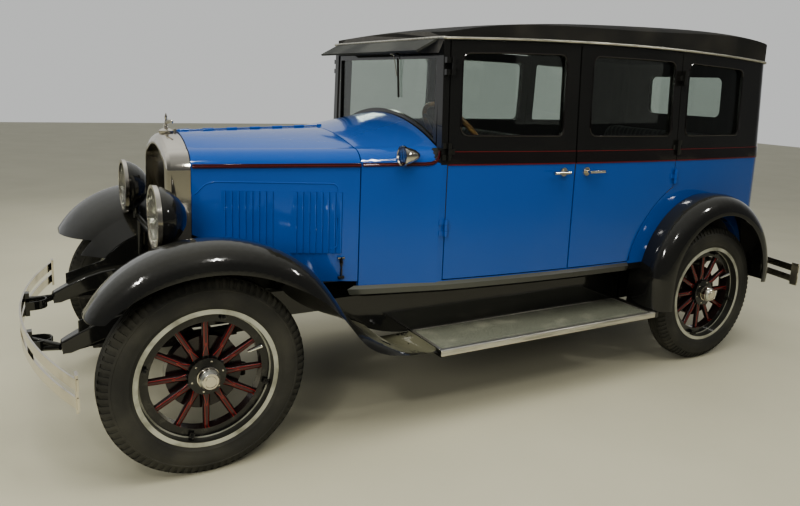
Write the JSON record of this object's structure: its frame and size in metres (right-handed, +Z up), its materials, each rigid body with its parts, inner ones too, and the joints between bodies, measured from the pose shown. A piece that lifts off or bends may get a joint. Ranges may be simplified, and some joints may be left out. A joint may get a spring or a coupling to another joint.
{
  "type": "vintage closed sedan car",
  "caption": "Late 1920s closed sedan with wood spoked wheels, opening doors and hood, steering front wheels and a spare at the back.",
  "frame": {"origin": "ground level under the middle of the car's overall box", "axes": "+X towards the front bumper, +Y towards the car's left side, +Z up"},
  "size_m": [4.4276, 1.7364, 1.922],
  "materials": {
    "body_blue": "gloss enamel",
    "black_enamel": "gloss enamel",
    "chassis_black": "semi-gloss",
    "nickel": "polished nickel plate",
    "rubber_black": "matt",
    "wheel_black": "painted wood",
    "roof_fabric": "coated cloth",
    "glass_clear": "clear",
    "seat_cloth": "striped cloth",
    "iron": "painted",
    "board_grey": "ribbed mat",
    "floor_wood": "boards",
    "wheel_rim_tan": "varnished",
    "core_dark": "painted"
  },
  "bodies": {
    "chassis": {"chassis_frame": "chassis_black", "front_axle": "iron", "rear_axle": "iron", "leaf_springs": "iron", "engine": "iron", "fuel_tank": "chassis_black", "floor": "floor_wood", "cowl": "body_blue", "body_frame": "black_enamel", "rear_body": "body_blue", "roof": "roof_fabric", "windshield_frame": "black_enamel", "fixed_glass": "glass_clear", "sun_visor": "black_enamel", "radiator_shell": "nickel", "radiator_core": "core_dark", "radiator_cap": "nickel", "hood_pin": "nickel", "lamp_bar": "black_enamel", "headlamp_bowls": "black_enamel", "headlamp_rims": "nickel", "headlamp_lenses": "glass_clear", "cowl_lamps": "nickel", "front_fenders": "black_enamel", "rear_fenders": "black_enamel", "running_boards": "board_grey", "splash_aprons": "black_enamel", "front_bumper": "nickel", "rear_bumper": "nickel", "spare_wheel": "wheel_black", "spare_tyre": "rubber_black", "tail_lamp": "black_enamel", "front_seat": "seat_cloth", "rear_seat": "seat_cloth", "seat_bases": "floor_wood", "steering_column": "black_enamel"},
    "wheel_front_left": {"wheel_front_left": "wheel_black", "tyre_front_left": "rubber_black"},
    "wheel_front_right": {"wheel_front_right": "wheel_black", "tyre_front_right": "rubber_black"},
    "wheel_rear_left": {"wheel_rear_left": "wheel_black", "tyre_rear_left": "rubber_black"},
    "wheel_rear_right": {"wheel_rear_right": "wheel_black", "tyre_rear_right": "rubber_black"},
    "knuckle_left": {"knuckle_left": "iron"},
    "knuckle_right": {"knuckle_right": "iron"},
    "tie_rod": {"tie_rod": "iron"},
    "steering_wheel": {"steering_wheel": "wheel_rim_tan"},
    "door_front_left": {"door_front_left": "body_blue", "door_glass_front_left": "glass_clear"},
    "door_front_right": {"door_front_right": "body_blue", "door_glass_front_right": "glass_clear"},
    "door_rear_left": {"door_rear_left": "body_blue", "door_glass_rear_left": "glass_clear"},
    "door_rear_right": {"door_rear_right": "body_blue", "door_glass_rear_right": "glass_clear"},
    "hood_left": {"hood_top_left": "body_blue", "hood_side_left": "body_blue"},
    "hood_right": {"hood_top_right": "body_blue", "hood_side_right": "body_blue"}
  },
  "joints": [
    {"name": "wheel_front_left_spin", "type": "hinge", "parent": "knuckle_left", "child": "wheel_front_left", "pos_m": [1.58, 0.711, 0.4], "axis": [0, 1, 0], "continuous": true},
    {"name": "wheel_front_right_spin", "type": "hinge", "parent": "knuckle_right", "child": "wheel_front_right", "pos_m": [1.58, -0.711, 0.4], "axis": [0, 1, 0], "continuous": true},
    {"name": "wheel_rear_left_spin", "type": "hinge", "parent": "chassis", "child": "wheel_rear_left", "pos_m": [-1.34, 0.711, 0.4], "axis": [0, 1, 0], "continuous": true},
    {"name": "wheel_rear_right_spin", "type": "hinge", "parent": "chassis", "child": "wheel_rear_right", "pos_m": [-1.34, -0.711, 0.4], "axis": [0, 1, 0], "continuous": true},
    {"name": "steer_left", "type": "hinge", "parent": "chassis", "child": "knuckle_left", "pos_m": [1.58, 0.6, 0.4], "axis": [0, 0, 1], "range_deg": [-30, 30]},
    {"name": "steer_right", "type": "hinge", "parent": "chassis", "child": "knuckle_right", "pos_m": [1.58, -0.6, 0.4], "axis": [0, 0, 1], "range_deg": [-30, 30]},
    {"name": "tie_rod_pivot", "type": "hinge", "parent": "knuckle_left", "child": "tie_rod", "pos_m": [1.39, 0.554, 0.338], "axis": [0, 0, 1], "range_deg": [-30, 30]},
    {"name": "steering_wheel_turn", "type": "hinge", "parent": "chassis", "child": "steering_wheel", "pos_m": [0.232, 0.37, 1.29], "axis": [-0.788, 0, 0.6157], "range_deg": [-450, 450]},
    {"name": "door_front_left_hinge", "type": "hinge", "parent": "chassis", "child": "door_front_left", "pos_m": [0.4375, 0.63929, 1.19], "axis": [0, 0, -1], "range_deg": [0, 70]},
    {"name": "door_front_right_hinge", "type": "hinge", "parent": "chassis", "child": "door_front_right", "pos_m": [0.4375, -0.63929, 1.19], "axis": [0, 0, 1], "range_deg": [0, 70]},
    {"name": "door_rear_left_hinge", "type": "hinge", "parent": "chassis", "child": "door_rear_left", "pos_m": [-1.0375, 0.7023, 1.19], "axis": [0, 0, 1], "range_deg": [0, 70]},
    {"name": "door_rear_right_hinge", "type": "hinge", "parent": "chassis", "child": "door_rear_right", "pos_m": [-1.0375, -0.7023, 1.19], "axis": [0, 0, -1], "range_deg": [0, 70]},
    {"name": "hood_left_hinge", "type": "hinge", "parent": "chassis", "child": "hood_left", "pos_m": [1.531, 0, 1.301], "axis": [0.9993, 0, -0.0366], "range_deg": [0, 50]},
    {"name": "hood_right_hinge", "type": "hinge", "parent": "chassis", "child": "hood_right", "pos_m": [1.531, 0, 1.301], "axis": [-0.9993, 0, 0.0366], "range_deg": [0, 50]}
  ],
  "couplings": [
    {"joint": "steer_right", "follows": "steer_left", "ratio": 1},
    {"joint": "tie_rod_pivot", "follows": "steer_left", "ratio": -1},
    {"joint": "steering_wheel_turn", "follows": "steer_left", "ratio": 15}
  ]
}
